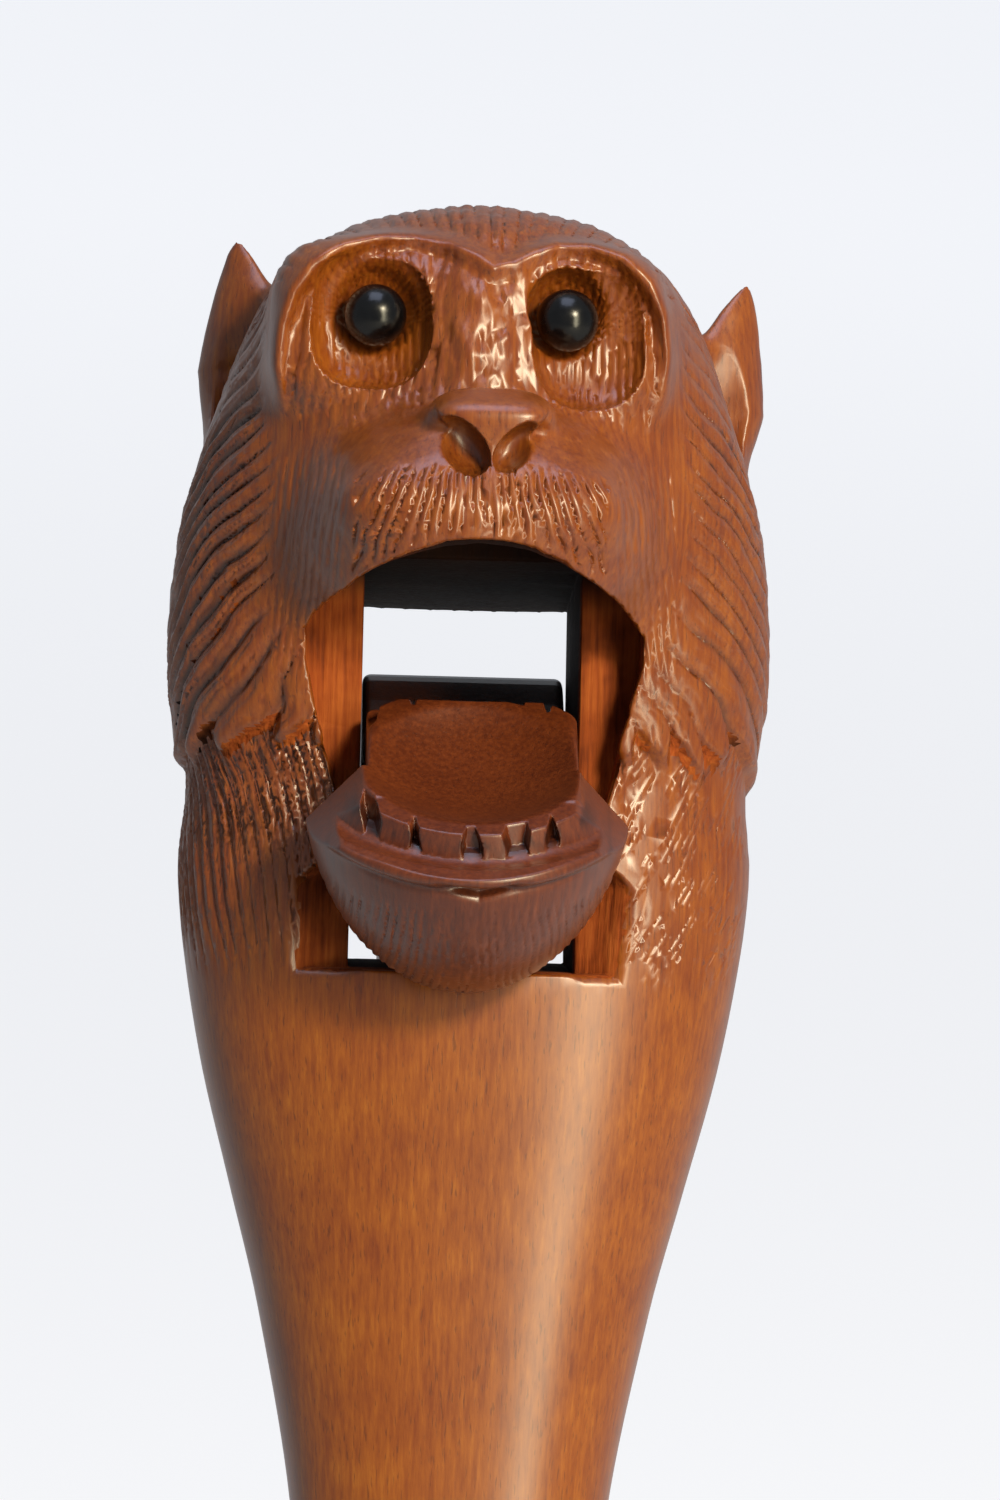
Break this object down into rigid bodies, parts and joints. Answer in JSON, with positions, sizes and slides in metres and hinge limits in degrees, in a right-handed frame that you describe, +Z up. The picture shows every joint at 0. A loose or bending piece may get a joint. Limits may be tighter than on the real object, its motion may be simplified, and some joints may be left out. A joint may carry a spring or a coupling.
{
  "type": "lever nutcracker",
  "caption": "Carved wooden lever nutcracker shaped as a monkey's head: squeezing the two handles closes the hinged lower jaw on a nut.",
  "frame": {"origin": "middle of the base, on the surface that the two handle ends stand on", "axes": "+Z up; the face looks along -Y; +X is to the right for someone facing the face"},
  "size_m": [0.05, 0.1222, 0.1907],
  "materials": {
    "stained_wood": "varnished",
    "jaw_wood": "varnished",
    "plug_wood": "stained end grain",
    "steel": "plain",
    "black_glass": "polished"
  },
  "bodies": {
    "head": {"head_lever": "stained_wood", "hinge_pin": "steel", "left_pin_plug": "plug_wood", "right_pin_plug": "plug_wood", "left_eye_bead": "black_glass", "right_eye_bead": "black_glass", "left_eye_shank": "steel", "right_eye_shank": "steel"},
    "jaw": {"jaw_lever": "jaw_wood"}
  },
  "joints": [
    {"name": "jaw_hinge", "type": "hinge", "parent": "head", "child": "jaw", "pos_m": [0, -0.00311, 0.13824], "axis": [-1, 0, 0], "range_deg": [0, 31]}
  ]
}
